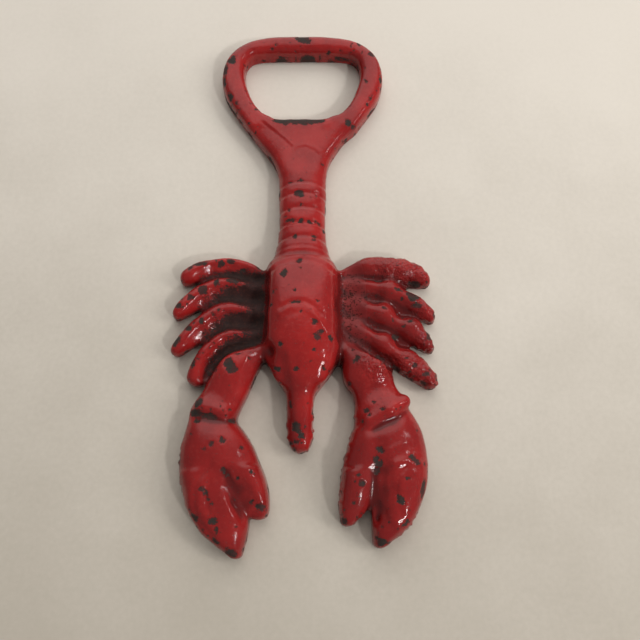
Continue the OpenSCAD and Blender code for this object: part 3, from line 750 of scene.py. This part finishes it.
RED = (0.315, 0.014, 0.013, 1)
DEEP_RED = (0.23, 0.010, 0.010, 1)
DUSTY_RED = (0.38, 0.045, 0.038, 1)
PAINTED_SHADE_RED = (0.125, 0.010, 0.010, 1)
SHADED_RED = (0.065, 0.005, 0.005, 1)
GRIME_SHADE_BLACK = (0.009, 0.004, 0.003, 1)
GRIME_SHADE_BROWN = (0.035, 0.012, 0.007, 1)
IRON = (0.020, 0.015, 0.013, 1)
IRON_BROWN = (0.040, 0.020, 0.014, 1)
STAIN = (0.050, 0.011, 0.010, 1)

IN_MM = (1000, 1000, 1000)  # turns the shader's metres into mm
RAGGED = 2.0  # mm of unevenness in the chips' edges
GLOSS, GLOSS_SPREAD = 0.08, 0.12  # roughness of clean enamel, and how much it varies
DULLER_WORN = 0.55  # added roughness on iron and dirt
DULLER_DUSTY = 0.35  # added roughness in the duskiest corners
PAINT_BUMP, PEEL_BUMP, SAND_BUMP = 0.09, 0.06, 0.38  # mm
ENAMEL_IOR = 1.42


def enamel():
    """Glossy red enamel with a fine cast grain, chipped through to dark iron."""
    n = Nodes("red_enamel")
    place = n.add("ShaderNodeTexCoord").outputs["Object"]
    place = n.add("ShaderNodeVectorMath", {0: place, 1: IN_MM}, operation="MULTIPLY").outputs[0]
    patches = n.noise(place, 0.12, 4.0)
    fine = n.noise(place, 1.1, 3.0)
    speckle = n.noise(place, 3.2, 2.0)

    ragged = n.math("SUBTRACT", n.noise(place, 1.9, 5.0, 0.75), 0.5)
    edge = n.math("MULTIPLY_ADD", ragged, RAGGED, n.attribute("chip"))
    bare = n.ramp(edge, 0.06, -0.06)

    spread = n.math("SUBTRACT", n.noise(place, 0.8, 5.0, 0.75), 0.5)
    flecks = n.math("SUBTRACT", n.noise(place, 2.6, 3.0, 0.6), 0.5)
    # Dirt and painted shade in the valleys between the legs, flecked by noise.
    dirt_and_shade = n.math("MULTIPLY_ADD", spread, 1.8, n.attribute("grime_and_shade"))
    dirt_and_shade = n.ramp(n.math("MULTIPLY_ADD", flecks, 1.8, dirt_and_shade), 0.3, 0.6)
    crevice = n.ramp(n.attribute("convexity"), 0.0, -0.5)

    colour = n.mix(n.ramp(patches, 0.35, 0.68), DEEP_RED, RED)
    colour = n.mix(n.math("MULTIPLY", n.ramp(fine, 0.5, 0.75), 0.25), colour, DUSTY_RED)
    # Painted shade: the shaded zones' enamel is mixed towards a dark red.
    colour = n.mix(n.math("MULTIPLY", n.attribute("shade_and_dust"), 0.62), colour, PAINTED_SHADE_RED)
    colour = n.mix(n.math("MULTIPLY", crevice, 0.85), colour, SHADED_RED)
    # Painted shade and dirt: the valleys go black and brown.
    soil_and_shade = n.mix(n.ramp(n.noise(place, 2.1, 3.0), 0.45, 0.7), GRIME_SHADE_BLACK, GRIME_SHADE_BROWN)
    colour = n.mix(n.math("MULTIPLY", dirt_and_shade, 0.93), colour, soil_and_shade)
    pits = n.math("MULTIPLY", n.ramp(n.noise(place, 1.7, 2.0), 0.56, 0.68), n.attribute("sand"))
    colour = n.mix(n.math("MULTIPLY", pits, 0.7), colour, SHADED_RED)
    iron = n.mix(n.ramp(speckle, 0.4, 0.7), IRON, IRON_BROWN)
    iron = n.mix(n.math("MULTIPLY", n.ramp(n.noise(place, 0.45, 4.0), 0.46, 0.6), 0.8), iron, STAIN)
    colour = n.mix(bare, colour, iron)
    n.feed(n.shader.inputs["Base Color"], colour)

    gloss = n.math("MULTIPLY_ADD", n.noise(place, 0.5, 3.0), GLOSS_SPREAD, GLOSS)
    dull = n.math("MAXIMUM", bare, dirt_and_shade)
    dusty = n.math("MULTIPLY", n.ramp(n.attribute("shade_and_dust"), 0.8, 1.1), DULLER_DUSTY)
    rough = n.math("MULTIPLY_ADD", dull, DULLER_WORN, n.math("ADD", gloss, dusty))
    n.feed(n.shader.inputs["Roughness"], rough)

    paint = n.math("MULTIPLY", n.math("SUBTRACT", 1.0, bare), PAINT_BUMP)
    peel = n.math("MULTIPLY", n.noise(place, 0.9, 3.0), PEEL_BUMP)
    grit = n.math("MULTIPLY", speckle, n.math("MULTIPLY_ADD", dull, 0.08, 0.02))
    coarse = n.math("MULTIPLY", n.attribute("sand"), SAND_BUMP)
    sand = n.math("MULTIPLY", n.noise(place, 1.1, 1.0), coarse)
    height = n.math("ADD", n.math("ADD", paint, peel), n.math("ADD", grit, sand))
    bump = n.add("ShaderNodeBump", {"Strength": 1.0, "Distance": MM, "Height": height})
    n.feed(n.shader.inputs["Normal"], bump.outputs["Normal"])
    n.shader.inputs["IOR"].default_value = ENAMEL_IOR
    return n.material


FLOOR_Z = -0.00005  # m, just under the flat back, so that the two faces don't coincide
FLOOR_HALF = 1.5  # m
FLOOR_ROUGHNESS = 0.75
# The floor's colour where painted light brightens it and where painted shade darkens it.
FLOOR_LIT = (0.69, 0.64, 0.57, 1)
FLOOR_SHADED = (0.40, 0.36, 0.30, 1)


def floor_material():
    """A pale mottled table top, with painted shade that darkens it towards the near left."""
    n = Nodes("floor")
    place = n.add("ShaderNodeTexCoord").outputs["Object"]
    apart = n.add("ShaderNodeSeparateXYZ", {0: place})
    # Painted shade and light: darker towards the near left, lighter towards the far right.
    light_falloff = n.math("MULTIPLY_ADD", apart.outputs["X"], 0.15, apart.outputs["Y"])
    clouds = n.math("MULTIPLY", n.math("SUBTRACT", n.noise(place, 24.0, 5.0, 0.6), 0.5), 0.12)
    specks = n.math("MULTIPLY", n.math("SUBTRACT", n.noise(place, 700.0, 2.0), 0.5), 0.05)
    mottle = n.math("ADD", clouds, specks)
    shade = n.ramp(n.math("ADD", light_falloff, mottle), -0.17, 0.13)
    n.feed(n.shader.inputs["Base Color"], n.mix(shade, FLOOR_SHADED, FLOOR_LIT))
    n.shader.inputs["Roughness"].default_value = FLOOR_ROUGHNESS
    return n.material


# ---------------------------------------------------------------- floor, light and camera

WARM, NEUTRAL = (1.0, 0.98, 0.95), (1.0, 0.99, 0.98)

# Lamps: name, place and side in metres, watts, colour, and whether the enamel reflects them. The two
# small ones make glints, and the two broad ones only add soft light.
LAMPS = [
    ("pane", (0.60, -0.58, 0.74), 0.08, 3.0, NEUTRAL, True),
    ("lamp", (0.75, 0.18, 0.86), 0.07, 1.2, NEUTRAL, True),
    ("key", (1.02, -0.12, 0.66), 0.50, 6.2, WARM, False),
    ("sky", (0.20, 0.80, 1.20), 1.60, 6.8, WARM, False),
]

EYE = (0.00484, -0.06142, 0.16356)  # m
EYE_TILT = 16  # degrees from straight down
LENS, SENSOR = 33.75, 36  # mm

BRIGHT_SIDE = Vector((-0.04, 0.85, 0.53)).normalized()  # where most of the daylight comes from
BRIGHT_FROM, BRIGHT_FULL = 0.66, 0.90  # cosines of the angle from it where brightness starts and is full
ROOM_STRENGTH = 1.0
DIM = (0.22, 0.215, 0.21, 1)
BRIGHT = (1.35, 1.32, 1.28, 1)


def floor():
    mesh = bpy.data.meshes.new("floor")
    square = ((-1, -1), (1, -1), (1, 1), (-1, 1))
    corners = [(x * FLOOR_HALF, y * FLOOR_HALF, FLOOR_Z) for x, y in square]
    mesh.from_pydata(corners, [], [(0, 1, 2, 3)])
    plane = bpy.data.objects.new("floor", mesh)
    bpy.context.scene.collection.objects.link(plane)
    mesh.materials.append(floor_material())


def area_light(name, place, side, power, colour, glints):
    """A square lamp that faces the casting. Without glints it lights surfaces but isn't mirrored."""
    data = bpy.data.lights.new(name, "AREA")
    data.shape = "RECTANGLE"
    data.size, data.size_y = side, side
    data.energy = power
    data.color = colour
    lamp = bpy.data.objects.new(name, data)
    lamp.location = place
    lamp.rotation_euler = (-Vector(place)).to_track_quat("-Z", "Y").to_euler()
    lamp.visible_glossy = glints
    bpy.context.scene.collection.objects.link(lamp)


def camera():
    data = bpy.data.cameras.new("camera")
    data.sensor_width = SENSOR
    data.lens = LENS
    data.clip_start = 0.01
    eye = bpy.data.objects.new("camera", data)
    eye.location = EYE
    eye.rotation_euler = (math.radians(EYE_TILT), 0, 0)
    bpy.context.scene.collection.objects.link(eye)
    bpy.context.scene.camera = eye


def room():
    """Soft daylight, bright beyond the loop and dim everywhere else."""
    world = bpy.data.worlds.new("room")
    world.use_nodes = True
    tree = world.node_tree
    place = tree.nodes.new("ShaderNodeTexCoord")
    facing = tree.nodes.new("ShaderNodeVectorMath")
    facing.operation = "DOT_PRODUCT"
    facing.inputs[1].default_value = BRIGHT_SIDE
    spread = tree.nodes.new("ShaderNodeMapRange")
    spread.interpolation_type = "SMOOTHSTEP"
    spread.inputs["From Min"].default_value = BRIGHT_FROM
    spread.inputs["From Max"].default_value = BRIGHT_FULL
    blend = tree.nodes.new("ShaderNodeMix")
    blend.data_type = "RGBA"
    blend.inputs[6].default_value = DIM
    blend.inputs[7].default_value = BRIGHT
    tree.links.new(place.outputs["Generated"], facing.inputs[0])
    tree.links.new(facing.outputs["Value"], spread.inputs["Value"])
    tree.links.new(spread.outputs["Result"], blend.inputs["Factor"])
    tree.links.new(blend.outputs[2], tree.nodes["Background"].inputs["Color"])
    tree.nodes["Background"].inputs["Strength"].default_value = ROOM_STRENGTH
    bpy.context.scene.world = world


casting = cast()
casting.data.materials.append(enamel())
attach(casting, "root")
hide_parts(*NODES)

floor()
camera()
for lamp in LAMPS:
    area_light(*lamp)
room()
bpy.context.scene.view_settings.view_transform = "Standard"
